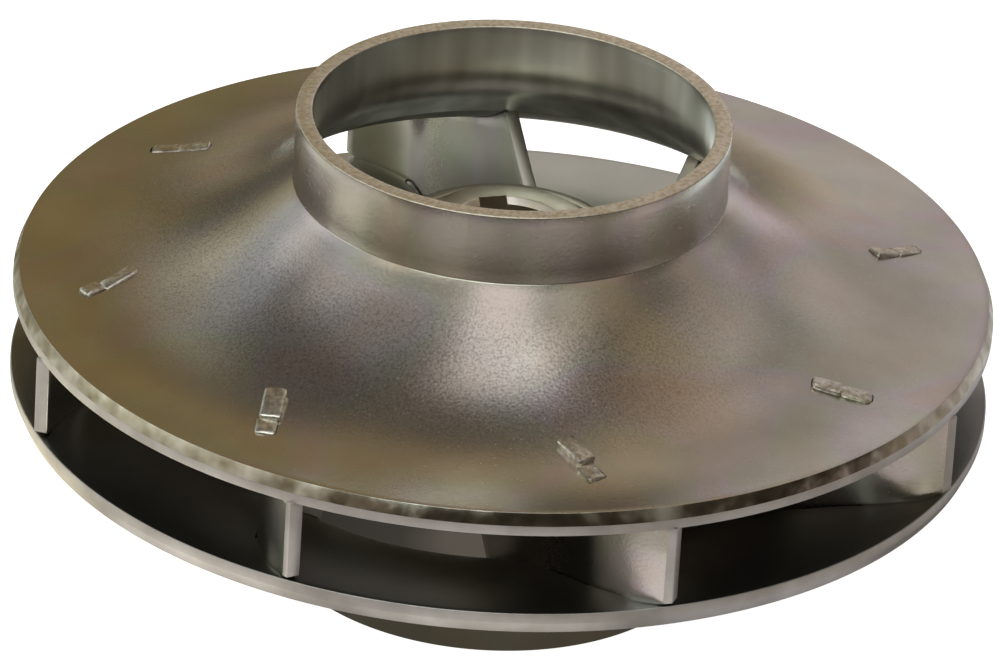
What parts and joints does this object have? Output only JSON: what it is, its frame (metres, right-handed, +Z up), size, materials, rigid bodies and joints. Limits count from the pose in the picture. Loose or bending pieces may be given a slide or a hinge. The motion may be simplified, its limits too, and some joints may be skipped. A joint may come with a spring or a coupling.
{
  "type": "pump impeller",
  "caption": "Closed double-entry pump impeller of pressed steel: mirrored shrouds with inlet collars, swept vanes staked through slots, and a keyed hub on a centre web.",
  "frame": {"origin": "on the shaft axis, in the plane of the lower collar's end that the impeller rests on", "axes": "+Z up along the shaft axis, +X to the right of the picture, +Y away from its camera"},
  "size_m": [0.24, 0.24, 0.1192],
  "materials": {
    "plated_steel": "satin",
    "hub_steel": "machined"
  },
  "bodies": {
    "root": {"shroud_upper": "plated_steel", "shroud_lower": "plated_steel", "vane_1": "plated_steel", "vane_2": "plated_steel", "vane_3": "plated_steel", "vane_4": "plated_steel", "vane_5": "plated_steel", "vane_6": "plated_steel", "vane_7": "plated_steel", "vane_8": "plated_steel", "centre_web": "plated_steel", "hub": "hub_steel"}
  },
  "joints": []
}
